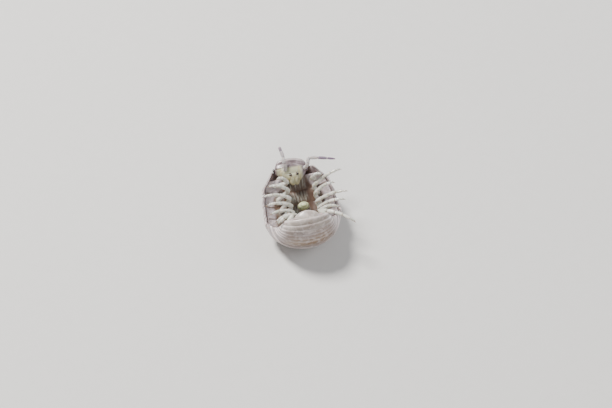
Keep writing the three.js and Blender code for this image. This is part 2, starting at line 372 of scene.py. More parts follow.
def belly_material():
    """Near-black brown painted shade where the belly is low, grey ridges on the middle, and the pale
    mauve lining of the side plates.
    """
    net = Net("belly_skin")
    raised = net.mark("raised")
    lining = net.mark("lining")
    cloud = net.noise(800, 5.0, 0.6)
    spots = net.step(net.noise(2200, 3.0, 0.6), 0.45, 0.7)
    # Painted shade: where the belly is not raised, between ridges, plates and legs, it turns near-black
    # brown.
    painted_shade_colour = net.mix(cloud, colour(0.055, 0.028, 0.017), colour(0.15, 0.085, 0.055))
    grey = net.mix(spots, colour(0.26, 0.245, 0.21), colour(0.48, 0.47, 0.41))
    base = net.mix(net.step(raised + cloud * 0.3 - 0.15, 0.1, 0.95), painted_shade_colour, grey)
    mauve = net.mix(spots, colour(0.44, 0.37, 0.38), colour(0.68, 0.61, 0.63))
    base = net.mix(net.step(lining + cloud * 0.4 - 0.2, 0.1, 0.9), base, mauve)
    fine = net.noise(4200, 4.0, 0.6)
    return net.finish(
        base, cloud * 0.2 + 0.3, net.bump(fine, 0.4, COARSE_PRESS),
        Subsurface_Weight=0.3, Coat_Weight=0.3, Coat_Roughness=0.3, **SOFT_LIGHT,
    )


def limb_material(name, clear, cloudy, joint, dark):
    """Glassy white limb: cloudy flesh inside, tinted joints, and dark where the dusk mark says so."""
    net = Net(name)
    cloud = net.step(net.noise(1500, 4.0, 0.6), 0.35, 0.7)
    base = net.mix(cloud, clear, cloudy)
    base = net.mix(net.mark("joint") * 0.75, base, joint)
    base = net.mix(net.mark("dusk"), base, dark)
    fine = net.noise(7000, 3.0, 0.6)
    return net.finish(
        base, cloud * 0.12 + 0.22, net.bump(fine, 0.2, FINE_PRESS),
        Subsurface_Weight=0.4, Coat_Weight=0.45, Coat_Roughness=0.12, **SOFT_LIGHT,
    )


def head_material():
    """Mauve shield with a pale rim, yellow-green face and beige mouth region."""
    net = Net("head_shell")
    face = net.mark("face")
    rim = net.mark("rim")
    mouth = net.mark("mouth")
    cloud = net.noise(900, 5.0, 0.6)
    streak = net.step(net.noise(1600, 3.0, 0.6), 0.4, 0.7)
    mauve = net.mix(streak, colour(0.145, 0.108, 0.115), colour(0.33, 0.272, 0.29))
    green = net.mix(cloud, colour(0.33, 0.315, 0.19), colour(0.60, 0.585, 0.44))
    base = net.mix(face, mauve, green)
    base = net.mix(mouth * 0.8, base, colour(0.40, 0.34, 0.17))
    base = net.mix(rim * 0.6, base, colour(0.70, 0.63, 0.62))
    fine = net.noise(4200, 4.0, 0.6)
    return net.finish(
        base, cloud * 0.2 + 0.25, net.bump(fine, 0.35, COARSE_PRESS),
        Subsurface_Weight=0.4, Coat_Weight=0.35, Coat_Roughness=0.2, **SOFT_LIGHT,
    )


def dark_material(name, dark, brown):
    """Nearly black horn or eye, with a brown glow where it is thin."""
    net = Net(name)
    glow = net.step(net.noise(3000, 2.0, 0.5), 0.45, 0.75)
    fine = net.noise(6000, 3.0, 0.6)
    return net.finish(
        net.mix(glow, dark, brown), glow * 0.1 + 0.14, net.bump(fine, 0.15, FINE_PRESS),
        Coat_Weight=0.6, Coat_Roughness=0.08,
    )


SHELL = shell_material()
HEAD = head_material()
BELLY = belly_material()
GILL = flesh_material("gill_leaves", colour(0.34, 0.31, 0.24), colour(0.70, 0.68, 0.60))
BULB = flesh_material("swelling_skin", colour(0.33, 0.37, 0.17), colour(0.64, 0.67, 0.44))
MOUTH = flesh_material("mouth_lobes", colour(0.24, 0.20, 0.10), colour(0.42, 0.38, 0.23))
LEG = limb_material(
    "leg_cuticle", clear=colour(0.74, 0.72, 0.67), cloudy=colour(0.45, 0.46, 0.38),
    joint=colour(0.36, 0.27, 0.22), dark=colour(0.20, 0.10, 0.05),
)
FEELER = limb_material(
    "feeler_cuticle", clear=colour(0.70, 0.66, 0.63), cloudy=colour(0.44, 0.40, 0.39),
    joint=colour(0.32, 0.22, 0.23), dark=colour(0.12, 0.06, 0.16),
)
EYE = dark_material("eye_black", colour(0.010, 0.008, 0.010), colour(0.05, 0.03, 0.03))
HORN = dark_material("jaw_horn", colour(0.015, 0.009, 0.006), colour(0.10, 0.045, 0.02))


# Shell plates

SHELL_THICKNESS = 0.3
UNDERLAP = 0.16  # how far a plate starts under the plate in front
OVERLAP = 0.05  # and ends over the plate behind
TAIL_STEP = 0.07  # the tail's plates stand up less than STEP
OUTER_STEPS = 22
LIP_STEPS = 7
INNER_STEPS = 10
TIP_COLUMNS = 6
PLATE_COLUMNS = 84
EDGE_POWER = 0.9  # below 1 it fills out the half ellipse across the back


def plate_points(from_edge, to_edge, thickness, lip):
    """A plate as a closed loop carried across the vault.

    The loop runs over the outside from front to rear, rising to the lip, round the lip in a half circle,
    and back along the inside. Across, it follows x = (width + rise) sin(angle) and
    depth = vault - (vault + rise) cos(angle) ** 0.9, and shrinks to a rounded tip at each end.
    """
    outer = np.linspace(0, 1, OUTER_STEPS)
    turn = np.linspace(np.pi / 2, -np.pi / 2, LIP_STEPS + 2)[1:-1]
    inner = np.linspace(1, 0.04, INNER_STEPS)
    share = np.concatenate([outer, np.ones(LIP_STEPS), inner])
    half = thickness / 2
    rise = np.concatenate([
        lip * smooth(outer, 0.0, 0.85) - 0.05 * (1 - smooth(outer, 0, 0.2)),
        lip - half + half * np.sin(turn),
        lip - thickness - 0.03 * (1 - inner),
    ])
    bulge = np.concatenate([np.zeros(OUTER_STEPS), np.cos(turn) * half * 1.1, np.zeros(INNER_STEPS)])
    across = np.linspace(-np.pi / 2, np.pi / 2, PLATE_COLUMNS)
    cap = np.linspace(0, np.pi / 2, TIP_COLUMNS + 1)[1:]
    angle = np.concatenate([np.full(TIP_COLUMNS, -np.pi / 2), across, np.full(TIP_COLUMNS, np.pi / 2)])
    closing = np.concatenate([np.cos(cap)[::-1], np.ones(PLATE_COLUMNS), np.cos(cap)])
    drop = np.concatenate([np.sin(cap)[::-1], np.zeros(PLATE_COLUMNS), np.sin(cap)]) * half
    side = np.abs(np.sin(angle))
    start = from_edge(side)[:, None]
    end = to_edge(side)[:, None]
    centre = (start + end) / 2
    round_off = 1 - 0.1 * smooth(side, 0.86, 1.0)[:, None]
    narrowing = round_off * (0.55 + 0.45 * closing[:, None])
    s = centre + (start + (end - start) * share - centre) * narrowing + bulge
    mid = lip - half
    lift = mid + (rise - mid) * closing[:, None]
    wide = half_width(s)
    deep = vault(s)
    x = (wide + lift) * np.sin(angle)[:, None]
    depth = deep - (deep + lift) * np.cos(angle)[:, None] ** EDGE_POWER + drop[:, None]
    margin = np.broadcast_to(smooth(share, 0.86, 0.97) * (rise > lip - half), s.shape)
    tip = np.broadcast_to(smooth(side, 0.72, 0.99)[:, None], s.shape)
    # The brown mark carries painted shade and reflection, and the cream mark carries painted light.
    marks = {
        "margin": margin, "tip": tip, "cream": painted_light_share(s), "brown": painted_shade_share(s, side[:, None]),
    }
    return in_body(x, depth, s), marks


# Where the painted light starts and where it is full, along s.
PAINTED_LIGHT_FROM, PAINTED_LIGHT_TO = 14.2, 15.6
# Middle and spread of the painted shade and reflection, along s.
PAINTED_SHADE_MIDDLE, PAINTED_SHADE_SPREAD = 13.2, 0.9


def painted_light_share(s):
    """How much painted light pales the shell to cream: it grows along the curled tail."""
    return smooth(s, PAINTED_LIGHT_FROM, PAINTED_LIGHT_TO)


def painted_shade_share(s, side):
    """How much brown painted shade and painted reflection the shell takes: a bell curve over the bend
    before the tail, away from the tips.
    """
    return bell(s, PAINTED_SHADE_MIDDLE, PAINTED_SHADE_SPREAD) * (1 - smooth(side, 0.4, 0.9))


def rest_on_floor(points):
    """Flattens what would reach below the floor onto it."""
    points[..., 2] = np.maximum(points[..., 2], 0.0)
    return points


def plate(index, name):
    """One plate of the back, from just under the plate in front to just over the plate behind."""
    front = MARGINS[index] - UNDERLAP
    rear = MARGINS[index + 1] + OVERLAP
    points, marks = plate_points(
        lambda side: front + SWEEPS[index] * side**3,
        lambda side: rear + SWEEPS[index + 1] * side**3,
        SHELL_THICKNESS, STEP if index < len(SEGMENT_LENGTHS) - 1 else TAIL_STEP,
    )
    shape, faces = tube(rest_on_floor(points))
    thing = make_mesh(f"{name}_plate", shape, faces, marks)
    return finish_piece(thing, SHELL, [name])


TELSON_DEPTH = 0.55
TELSON_OUTSIDE = 0.6  # thickness from its middle to the outside, at its root
TELSON_INSIDE = 0.28
TAIL_ROOT = MARGINS[-1] - 0.1  # where the telson and the tail lobes start


def telson_plate():
    """The tail's last plate: a shield that narrows to a blunt round tip, as a flat tube along the tail.

    narrow = 0.75 sqrt(1 - t ** 2.6) + 0.25 (1 - t), and the tube is thicker outside than inside.
    """
    t = np.linspace(0, 1, 26)[:, None]
    turn = full_turn(48)[None, :]
    narrow = np.sqrt(np.clip(1 - t**2.6, 0, 1)) * 0.75 + 0.25 * (1 - t)
    wide = half_width(MARGINS[-1]) * 0.66 * narrow + 0.02
    outward = np.sin(turn) < 0
    thick = np.where(outward, TELSON_OUTSIDE, TELSON_INSIDE) * (1 - 0.62 * t) * (0.25 + 0.75 * narrow)
    x = wide * np.cos(turn)
    depth = TELSON_DEPTH + thick * np.sin(turn) + 0.25 * np.cos(turn) ** 2 * narrow
    s = TAIL_ROOT + (TELSON_LENGTH + 0.08) * t + 0 * turn
    margin = np.broadcast_to(smooth(t, 0.86, 1.0), x.shape)
    tip = np.broadcast_to(smooth(t, 0.4, 1.0) * 0.6, x.shape)
    # As on the plates: painted shade and reflection by the brown mark, painted light by the cream mark.
    marks = {"margin": margin, "tip": tip, "cream": painted_light_share(s), "brown": painted_shade_share(s, 0 * x)}
    points, faces = tube(in_body(x, depth, s))
    thing = make_mesh("telson_plate", points, faces, marks)
    return finish_piece(thing, SHELL, ["telson"])


LOBE_DEPTH = 0.93
LOBE_HALF_WIDTH = 0.3
LOBE_HALF_THICKNESS = 0.2


def uropod_lobe(side, word):
    """A tail lobe beside the telson: a flat leaf, width and thickness as sin(pi t) ** 0.6."""
    t = np.linspace(0, 1, 18)[:, None]
    turn = full_turn(20)[None, :]
    leaf = np.sin(np.pi * (0.1 + 0.88 * t)) ** 0.6
    middle = half_width(MARGINS[-1]) * (0.86 - 0.26 * t)
    x = side * (middle + LOBE_HALF_WIDTH * leaf * np.cos(turn))
    depth = LOBE_DEPTH + LOBE_HALF_THICKNESS * leaf * np.sin(turn)
    s = TAIL_ROOT + t * (TELSON_LENGTH * 0.85 + GAP) + 0 * turn
    points, faces = tube(in_body(x, depth, s))
    # Painted shade towards the leaf's root and tip.
    marks = {"raised": np.broadcast_to(leaf, x.shape)}
    thing = make_mesh(f"uropod_{word}_leaf", points, faces, marks)
    return finish_piece(thing, GILL, [f"uropod_{word}"])


# Belly

SKIN_INSET = 0.24  # from the shell's outside to the skin's outside
LINING_INSET = 0.26  # from the vault's depth to the lining of the plate tips
BELLY_ROWS = 320
RIDGE_SPACING = 0.27
WIDE_RIDGE_SPACING = 0.43


def belly_skin():
    """One skin along the whole belly: a closed ring carried from head to tail.

    Outside it lies under the plates. Inside, depth = belly + bars + ridges + hips near the middle, and
    towards the tips it climbs as side ** 3.4 to line the plates, with a groove between each two plates.
    """
    rows = np.linspace(HEAD_LENGTH + 0.25, MARGINS[-1] + 0.35, BELLY_ROWS)[:, None]
    over = np.linspace(-np.pi / 2, np.pi / 2, 34)[None, :]
    under = np.linspace(1, -1, 110)[None, :]
    side = np.abs(under)
    x_over = (half_width(rows) - SKIN_INSET) * np.sin(over)
    arch = (vault(rows) - SKIN_INSET) * np.cos(over) ** EDGE_POWER
    depth_over = vault(rows) - arch - 0.3 * np.abs(np.sin(over)) ** 6
    index = np.clip(np.searchsorted(MARGINS, rows, side="right") - 1, 0, len(MARGINS) - 2)
    sweep = np.interp(rows, MARGINS, SWEEPS) * side**3
    length = MARGINS[index + 1] - MARGINS[index]
    share = (rows - sweep - MARGINS[index]) / length % 1
    size = np.clip(length / 1.6, 0.3, 1)
    bar = np.sin(np.pi * np.clip(share, 0, 1)) ** 0.6
    groove = 1 - smooth(np.minimum(share, 1 - share), 0.0, 0.12)
    wall = side**3.4
    reach = half_width(rows) - 0.3 - 0.11 * groove * smooth(side, 0.5, 0.8) * size
    x_under = under * reach
    wander = 0.05 * np.sin(rows * 2.1 + 3 * under) + 0.03 * np.sin(rows * 5.3 - 7 * under)
    ridge = 0.5 + 0.3 * np.cos(2 * np.pi * (x_under + wander) / RIDGE_SPACING)
    ridge = ridge + 0.2 * np.cos(2 * np.pi * (x_under - wander) / WIDE_RIDGE_SPACING)
    middle = 1 - smooth(np.abs(x_under), 0.9, 1.35)
    hip = bell(side, 0.62, 0.12) * bar
    height = (0.1 * bar + 0.05 * ridge * bar) * middle * size + 0.26 * hip * size
    depth_under = (belly_depth(rows) + height) * (1 - wall) + (vault(rows) - LINING_INSET) * wall
    x = np.concatenate([x_over, x_under], 1)
    depth = np.concatenate([depth_over, depth_under], 1)
    s = np.broadcast_to(rows, x.shape)
    collar = 1 - smooth(rows, 2.6, 4.2)
    # Painted shade shows in the grooves between plates, where the lining gives way, and where raised is
    # low.
    inside = smooth(side, 0.66 - 0.3 * collar, 0.86 - 0.25 * collar) * (1 - 0.75 * groove)
    raised = middle * bar * (0.25 + 0.6 * ridge) + 0.5 * hip
    marks = {
        "raised": np.concatenate([np.zeros_like(x_over), raised], 1),
        "lining": np.concatenate([np.ones_like(x_over), inside], 1),
    }
    points, faces = tube(rest_on_floor(in_body(x, depth, s)))
    thing = make_mesh("belly_skin", points, faces, marks)
    return finish_piece(thing, BELLY, ())


GILL_HALF_WIDTH = 0.62
GILL_X = 0.68
GILL_SHRINK = 0.05  # of width and place, from each pair to the next
GILL_LENGTH = 1.25


def gill_leaves():
    """Five pairs of leaf gills under the tail: blunt leaves, thin at the edge, each over the next pair.

    width = w sin(pi t) ** 0.45, and the leaf lifts by 0.2 t and cups by 0.1 cos ** 2 across.
    """
    parts, marks = [], []
    for index in range(len(TAIL_LENGTHS)):
        s0 = MARGINS[len(SEGMENT_LENGTHS) + index]
        for side, _ in SIDES:
            t = np.linspace(0.015, 0.985, 18)[:, None]
            turn = full_turn(30)[None, :]
            leaf = np.sin(np.pi * t) ** 0.45
            wide = (GILL_HALF_WIDTH - GILL_SHRINK * index) * leaf
            x = side * (GILL_X - GILL_SHRINK * index) + wide * np.cos(turn)
            s = s0 - 0.3 + GILL_LENGTH * t - 0.18 * np.cos(turn) ** 2 * t
            lift = 0.1 + 0.2 * t + 0.05 * leaf * np.sin(turn) - 0.1 * np.cos(turn) ** 2 * leaf
            depth = belly_depth(s) + lift
            parts.append(tube(in_body(x, depth, s)))
            # Painted shade towards each leaf's rims and ends.
            marks.append((0.25 + 0.75 * leaf * (1 - np.abs(np.cos(turn)) ** 6)).ravel())
    points, faces = join_parts(parts)
    thing = make_mesh("gill_leaves", points, faces, {"raised": np.concatenate(marks)})
    return finish_piece(thing, GILL, ())


SWELLING_RADIUS = 0.6
SWELLING_X = 0.36
SWELLING_S = MARGINS[2] + 0.58


def belly_swelling():
    """The round swelling on the belly: a ball whose radius waves by 2.5 percent round its pole."""
    polar = np.linspace(0.02, np.pi - 0.02, 60)[:, None]
    turn = full_turn(64)[None, :]
    ring = np.sin(polar * 9) * 0.5 + 0.5
    radius = SWELLING_RADIUS * (1 + 0.025 * ring * (polar < 2.0)) + 0 * turn
    x = SWELLING_X + radius * np.sin(polar) * np.cos(turn)
    s = SWELLING_S + radius * np.sin(polar) * np.sin(turn)
    depth = belly_depth(SWELLING_S) + 0.65 + radius * np.cos(polar) * 1.05
    points, faces = tube(in_body(x, depth, s))
    # Painted shade in the troughs between the rings.
    marks = {"raised": np.broadcast_to(0.3 + 0.7 * ring, x.shape)}
    thing = make_mesh("belly_swelling_ball", points, faces, marks)
    return finish_piece(thing, BULB, ["belly_swelling"])


# Head


def head_ring(s, wide, middle, deep, steps=72):
    """A ring round the head at s: x = wide cos ** 0.8 and depth = middle + deep sin ** 0.85, each keeping
    its sign. Powers below 1 square the ellipse off.
    """
    turn = full_turn(steps)
    x = wide * np.sign(np.cos(turn)) * np.abs(np.cos(turn)) ** 0.8
    depth = middle + deep * np.sign(np.sin(turn)) * np.abs(np.sin(turn)) ** 0.85
    return in_body(x, depth, s)


def head_lump(x, depth, s, radii, rows=32, columns=48):
    """An ellipsoid by polar angle and turn, with radii across the body, inwards and along it."""
    polar = np.linspace(0.03, np.pi - 0.03, rows)[:, None]
    turn = full_turn(columns)[None, :]
    centre = in_body(x, depth, s)
    inward = in_body(x, depth + 1, s) - centre
    across = np.array([1.0, 0, 0])
    lengthways = np.cross(across, inward)
    ball = (
        (radii[0] * np.sin(polar) * np.cos(turn))[..., None] * across
        + (radii[1] * np.cos(polar) + 0 * turn)[..., None] * inward
        + (radii[2] * np.sin(polar) * np.sin(turn))[..., None] * lengthways
    )
    return tube(centre + ball)


def melted(name, parts, voxel, passes):
    """Closed parts melted into one skin: a voxel remesh, then rounds of smoothing."""
    points, faces = join_parts(parts)
    rough = make_mesh(name + "_rough", points, faces)
    remesh = rough.modifiers.new("melt", "REMESH")
    remesh.mode = "VOXEL"
    remesh.voxel_size = voxel
    relax = rough.modifiers.new("relax", "SMOOTH")
    relax.factor = 0.5
    relax.iterations = passes
    bpy.context.view_layer.update()
    solid = rough.evaluated_get(bpy.context.evaluated_depsgraph_get())
    mesh = bpy.data.meshes.new_from_object(solid)
    mesh.name = name
    bpy.data.objects.remove(rough)
    mesh.shade_smooth()
    return show(name, mesh)


HEAD_S = 0.8  # where the head's own directions are taken
SKULL = [  # s, half width, middle depth, half depth
    (0.02, 1.05, 0.95, 0.45), (0.2, 1.6, 1.0, 0.75), (0.7, 1.82, 1.05, 0.98),
    (1.2, 1.8, 1.05, 0.95), (1.42, 1.55, 1.0, 0.8),
]
SHIELD = [
    (-0.42, 1.28, 1.25, 0.2), (-0.3, 1.5, 1.28, 0.3), (0.1, 1.72, 1.35, 0.42), (0.45, 1.7, 1.4, 0.42),
]
FACE_LUMPS = [  # x, depth, s, radii
    (0, 1.95, 1.15, (1.38, 0.78, 0.98)),
    (0, 2.2, 1.6, (0.95, 0.66, 0.72)),
]
HEAD_VOXEL = 0.045
HEAD_SMOOTHING = 6


def head_frame():
    """Origin and directions of the head: across, inwards to the belly, and along to the tail."""
    origin = in_body(0, 0, HEAD_S)
    inward = in_body(0, 1, HEAD_S) - origin
    across = np.array([1.0, 0, 0])
    return origin, across, inward, np.cross(across, inward)


def head():
    """Skull, shield and face melted together, then dished, grooved and marked by place.

    Each point moves inwards by a sum of bell curves of its place: a dish behind the shield's edge, a
    brow, a cleft, two side grooves, and a line over the mouth. The shield's corners sweep back as x ** 2.
    """
    parts = [tube(np.array([head_ring(*row) for row in rows])) for rows in (SKULL, SHIELD)]
    parts += [head_lump(*lump) for lump in FACE_LUMPS]
    thing = melted("head_shell", parts, HEAD_VOXEL, HEAD_SMOOTHING)
    mesh = thing.data
    flat = np.zeros(len(mesh.vertices) * 3, np.float32)
    mesh.vertices.foreach_get("co", flat)
    points = flat.reshape(-1, 3).astype(float)
    origin, across, inward, tailwards = head_frame()
    local = points - origin
    x = local @ across + MIDDLE[0]
    deep = local @ inward
    back = local @ tailwards + HEAD_S
    front = smooth(deep, 1.1, 1.5)
    dish = front * np.exp(-((back / 0.33) ** 2) - ((x / 1.25) ** 4))
    brow = front * bell(back, 0.42, 0.09) * smooth(1.5 - np.abs(x), 0, 0.4)
    cleft = front * bell(x, 0, 0.06) * smooth(back, 1.35, 1.6)
    side_groove = front * bell(np.abs(x), 0.82, 0.07) * smooth(back, 0.8, 1.1)
    lip = front * bell(back, 1.12, 0.06) * smooth(0.75 - np.abs(x), 0, 0.2)
    move = -0.14 * dish + 0.05 * brow - 0.07 * cleft - 0.06 * side_groove - 0.05 * lip
    corner = 0.26 * (x / 1.4) ** 2 * (1 - smooth(back, 0.0, 0.6))
    points += move[:, None] * inward + corner[:, None] * tailwards
    mesh.vertices.foreach_set("co", points.astype(np.float32).ravel())
    face = front * smooth(back, 0.35, 0.6) * smooth(1.42 - np.abs(x), 0.0, 0.3)
    cheek = front * bell(np.abs(x), 0.95, 0.1) * smooth(back, 0.4, 0.6)
    mouth = front * smooth(back, 1.3, 1.6) * smooth(0.75 - np.abs(x), 0.0, 0.3)
    edge = smooth(-back, 0.1, 0.24) * smooth(deep, 1.3, 1.6)
    mark_points(mesh, {"face": face, "rim": edge, "mouth": np.maximum(mouth, cheek)})
    return finish_piece(thing, HEAD, ["head"])


EYE_X = 1.84
EYE_RADII = (0.1, 0.28, 0.27)
EYE_ROWS = 3
BEADS_IN_ROW = 5
BEAD_X = 1.91
BEAD_RADII = (0.055, 0.05, 0.055)


def eye(side, word):
    """A patch of black bead eyes on the side of the head: three rows of ellipsoids on a larger one."""
    parts = [head_lump(side * EYE_X, 1.0, 0.75, EYE_RADII, 14, 18)]
    for row in range(EYE_ROWS):
        for bead in range(BEADS_IN_ROW - row % 2):
            depth = 0.8 + 0.1 * bead + 0.05 * (row % 2)
            parts.append(head_lump(side * BEAD_X, depth, 0.63 + 0.12 * row, BEAD_RADII, 8, 12))
    points, faces = join_parts(parts)
    thing = make_mesh(f"eye_{word}_beads", points, faces)
    return finish_piece(thing, EYE, [f"eye_{word}"])


JAW_LUMPS = [  # x, depth, s, radii, rows and columns of the jaw and its tooth
    (0.36, 2.7, 1.35, (0.17, 0.2, 0.16), 16, 20),
    (0.29, 2.77, 1.43, (0.1, 0.13, 0.09), 12, 16),
]


def mandible(side, word):
    """The dark tip of a jaw, between the lip and the mouth lobes: two ellipsoids, one on the other."""
    parts = [head_lump(side * x, *rest) for x, *rest in JAW_LUMPS]
    points, faces = join_parts(parts)
    thing = make_mesh(f"mandible_{word}_tip", points, faces)
    return finish_piece(thing, HORN, [f"mandible_{word}"])


MOUTH_LUMPS = [  # x, depth, s, radii of the lobe, its plate and its palp
    (0.21, 2.46, 2.15, (0.34, 0.36, 0.5)),
    (0.2, 2.72, 2.02, (0.2, 0.14, 0.36)),
    (0.3, 2.84, 1.86, (0.07, 0.06, 0.14)),
]


def mouth_lobes():
    """The flat lobes that close the mouth from behind, as ellipsoids, with a stubby palp on each."""
    parts = [
        head_lump(side * x, depth, s, radii, 20, 28)
        for side, _ in SIDES for x, depth, s, radii in MOUTH_LUMPS
    ]
    points, faces = join_parts(parts)
    thing = make_mesh("mouthpart_lobes", points, faces, {"raised": np.full(len(points), 0.9)})
    return finish_piece(thing, MOUTH, ["mouthparts"])


# Limbs

LEG_RADII = np.array([0.28, 0.26, 0.24, 0.22, 0.19, 0.14, 0.07])
LEG_SLIMMING = 0.88  # the render's legs against the solids'
ROOT_X = 2.3
ROOT_LIFT = GAP + 0.1  # of a leg's root over the belly
JOINTS = [0, 0.2, 0.42, 0.66, 0.88, 1]  # shares of the curve from knee to claw
ARCH = 1.1  # how high that curve's middle is pulled
KNEES = [(-3.5, 4.0), (-5.4, 3.0), (-6.75, 3.0), (-7.55, 4.1)]  # (y, z) along the row of knees
KNEE_X = {-1: -0.85, 1: 1.7}
CLAWS = {  # (x, y, z) from the first leg to the last
    -1: [
        (-1.9, -3.2, 4.7), (-2.9, -3.8, 4.5), (-3.65, -4.7, 4.2), (-3.5, -5.7, 4.0),
        (-3.3, -6.8, 4.0), (-3.0, -7.9, 4.2), (-3.0, -8.4, 4.6),
    ],
    1: [
        (2.6, -4.0, 5.2), (4.5, -4.1, 5.7), (3.6, -5.0, 4.9), (4.6, -6.5, 5.2),
        (4.2, -7.1, 4.7), (3.5, -7.8, 4.6), (4.7, -9.8, 4.5),
    ],
}
ANTENNA_RADII = np.array([0.24, 0.22, 0.22, 0.22, 0.2, 0.16, 0.09])
ANTENNA_SLIMMING = 0.86
LEFT_DUSK = [0, 0.05, 0.1, 0.3, 0.55]  # how dark each article is
RIGHT_DUSK = [0, 0.05, 0.1, 0.15, 0.75, 0.9]
LEFT_ANTENNA = [  # (x, depth, s) of each joint
    (-0.75, 2.1, 0.9), (-0.8, 2.6, 0.5), (-0.8, 2.85, -0.2),
    (-0.8, 2.75, -0.9), (-0.9, 2.6, -1.5), (-1.0, 2.5, -1.95),
]
RIGHT_ANTENNA = [
    (1.2, 2.1, 0.9), (1.45, 2.6, 0.7), (1.66, 2.86, 0.2), (1.75, 2.8, -0.35),
    (2.75, 2.7, -0.15), (3.75, 2.55, 0.15), (4.6, 2.4, 0.45),
]


def catmull_point(knots, share):
    """Point at a share of the length of a smooth cubic through the knots, as the solids have it.

    Between two knots the curve starts and ends with half the step from the knot before to the knot after.
    """
    knots = np.array(knots, float)
    last = len(knots) - 1
    t = np.linspace(0, 1, 201)
    at = t * last
    i = np.minimum(at.astype(int), last - 1)
    w = at - i
    p0 = knots[np.maximum(i - 1, 0)]
    p1 = knots[i]
    p2 = knots[i + 1]
    p3 = knots[np.minimum(i + 2, last)]
    v0 = (p2 - p0) * 0.5
    v1 = (p3 - p1) * 0.5
    w = w[:, None]
    curve = (2 * p1 - 2 * p2 + v0 + v1) * w**3 + (-3 * p1 + 3 * p2 - 2 * v0 - v1) * w**2 + v0 * w + p1
    lengths = np.concatenate([[0], np.cumsum(np.linalg.norm(np.diff(curve, axis=0), axis=1))])
    where = share * lengths[-1]
    return np.array([np.interp(where, lengths, curve[:, k]) for k in (0, 1)])


def leg_points(side, index):
    """Joints of a leg: the root in the belly, then a curve from the knee over the side plate to the claw.

    The curve is a (1 - u) ** 2 + 2 b u (1 - u) + c u ** 2, with its middle point b pulled up by ARCH.
    """
    s = (MARGINS[index] + MARGINS[index + 1]) / 2
    root = in_body(side * ROOT_X, belly_depth(s) + ROOT_LIFT, s)
    y, z = catmull_point(KNEES, index / (len(SEGMENT_LENGTHS) - 1))
    a = np.array([KNEE_X[side], y, z])
    c = np.array(CLAWS[side][index])
    b = (a + c) / 2 + [0, 0, ARCH]
    middle = np.array([*MIDDLE, 0])
    curve = [a * (1 - u) ** 2 + 2 * b * u * (1 - u) + c * u * u for u in JOINTS]
    return [root, *(point - middle for point in curve)]


def article_part(a, b, ra, rb, rows=16, columns=20, flat=0.86):
    """One article of a limb: an oval rod, radius * swell * collar along it, closed at both ends.

    swell = 0.86 + 0.2 sin(pi t ** 1.3) is widest past the middle, and collar pinches both ends where
    joints bend. The rings crowd towards the ends, by t - 0.18 / pi sin(2 pi t).
    """
    axis = b - a
    length = np.linalg.norm(axis)
    axis = axis / length
    helper = np.array([0.0, 0, 1]) if abs(axis[2]) < 0.9 else np.array([0.0, 1, 0])
    first = np.cross(axis, helper)
    first /= np.linalg.norm(first)
    second = np.cross(axis, first)
    t = np.linspace(0, 1, rows)
    t = t - 0.18 / np.pi * np.sin(2 * np.pi * t)
    swell = 0.86 + 0.2 * np.sin(np.pi * t**1.3)
    collar = (0.3 + 0.7 * smooth(t, -0.02, 0.14)) * (0.45 + 0.55 * smooth(1 - t, -0.02, 0.1))
    radius = (ra + (rb - ra) * t) * swell * collar
    turn = full_turn(columns)
    along_axis = (-0.3 * ra + (length + 0.3 * ra + 0.25 * rb) * t)[:, None, None]
    ring = np.cos(turn)[None, :, None] * first + flat * np.sin(turn)[None, :, None] * second
    rings = a + along_axis * axis + radius[:, None, None] * ring
    joint = np.broadcast_to((1 - smooth(np.minimum(t, 1 - t), 0.03, 0.16))[:, None], (rows, columns))
    return tube(rings), joint


def bristle(at, direction, length, radius):
    """A hair: a thin cone from a ring of three points to a tip at direction * length."""
    direction = direction / np.linalg.norm(direction)
    side = np.cross(direction, [0.3, 0.5, 0.81])
    side /= np.linalg.norm(side)
    other = np.cross(direction, side)
    turn = full_turn(3)[:, None]
    foot = at + radius * (np.cos(turn) * side + np.sin(turn) * other)
    return np.vstack([foot, at + direction * length]), [[0, 1, 3], [1, 2, 3], [2, 0, 3], [2, 1, 0]]


BRISTLE_RADIUS = 0.016


def bristles(a, b, ra, rb, count, length):
    """Hairs round an article, leaning towards its far end, at seeded places."""
    axis = (b - a) / np.linalg.norm(b - a)
    parts = []
    for _ in range(count):
        t = rng.uniform(0.15, 0.98)
        aside = np.cross(axis, rng.normal(size=3))
        aside /= np.linalg.norm(aside)
        foot = a + (b - a) * t + aside * (ra + (rb - ra) * t) * 0.84
        parts.append(bristle(foot, aside * 0.8 + axis, length * rng.uniform(0.7, 1.3), BRISTLE_RADIUS))
    return parts


CLAW_LENGTH = 0.3
CLAW_BEND = 0.16


def claw_part(a, b, radius, curl):
    """A claw past b: a cone that bends towards curl as t ** 2, its radius falling as (1 - t) ** 0.8."""
    axis = (b - a) / np.linalg.norm(b - a)
    t = np.linspace(0, 1, 9)[:, None]
    path = b + axis * CLAW_LENGTH * (t - 0.15) + curl * CLAW_BEND * t**2
    first = np.cross(axis, curl)
    first /= np.linalg.norm(first)
    second = np.cross(axis, first)
    turn = full_turn(10)
    ring = np.cos(turn)[None, :, None] * first + np.sin(turn)[None, :, None] * second
    return tube(path[:, None, :] + (radius * (1.02 - t) ** 0.8)[..., None] * ring)


HAIR_DUSK = 0.35
CLAW_DUSK = 0.8


